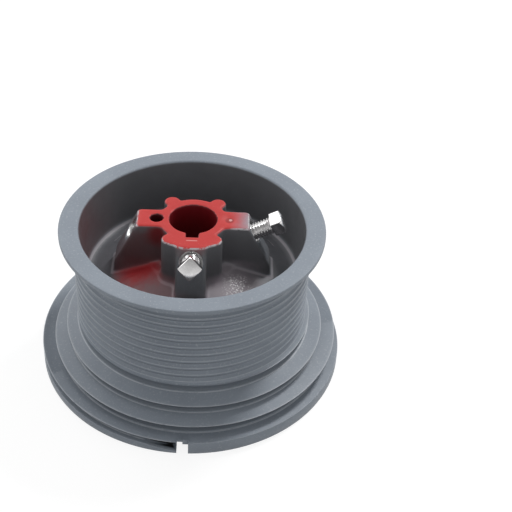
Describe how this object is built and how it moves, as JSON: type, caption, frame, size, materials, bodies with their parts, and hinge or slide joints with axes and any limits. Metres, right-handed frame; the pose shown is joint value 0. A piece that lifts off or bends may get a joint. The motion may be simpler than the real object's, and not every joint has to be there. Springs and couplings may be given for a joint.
{
  "type": "garage door cable drum",
  "caption": "High-lift garage door cable drum with a grooved barrel, a spiral scroll, a keyed shaft hub inside an open cup and square-head set screws.",
  "frame": {"origin": "on the shaft bore's axis, in the plane of the big flange's base", "axes": "+Z along the shaft bore from the big flange to the open cup, -Y towards the keyway and the front arm, +X towards the arm with the side screw"},
  "size_m": [0.1724, 0.1722, 0.0967],
  "materials": {
    "paint": "blue-grey paint on cast aluminium",
    "zinc": "bright zinc plate"
  },
  "bodies": {
    "casting": {"drum": "paint"},
    "front_screw": {"set_screw_front": "zinc"},
    "side_screw": {"set_screw_side": "zinc"}
  },
  "joints": [
    {"name": "front_screw_feed", "type": "slide", "parent": "casting", "child": "front_screw", "axis": [0, -0.891, 0.454], "range_m": [-0.0095, 0.009]},
    {"name": "side_screw_feed", "type": "slide", "parent": "casting", "child": "side_screw", "axis": [0.891, 0, 0.454], "range_m": [-0.0095, 0.012]}
  ]
}
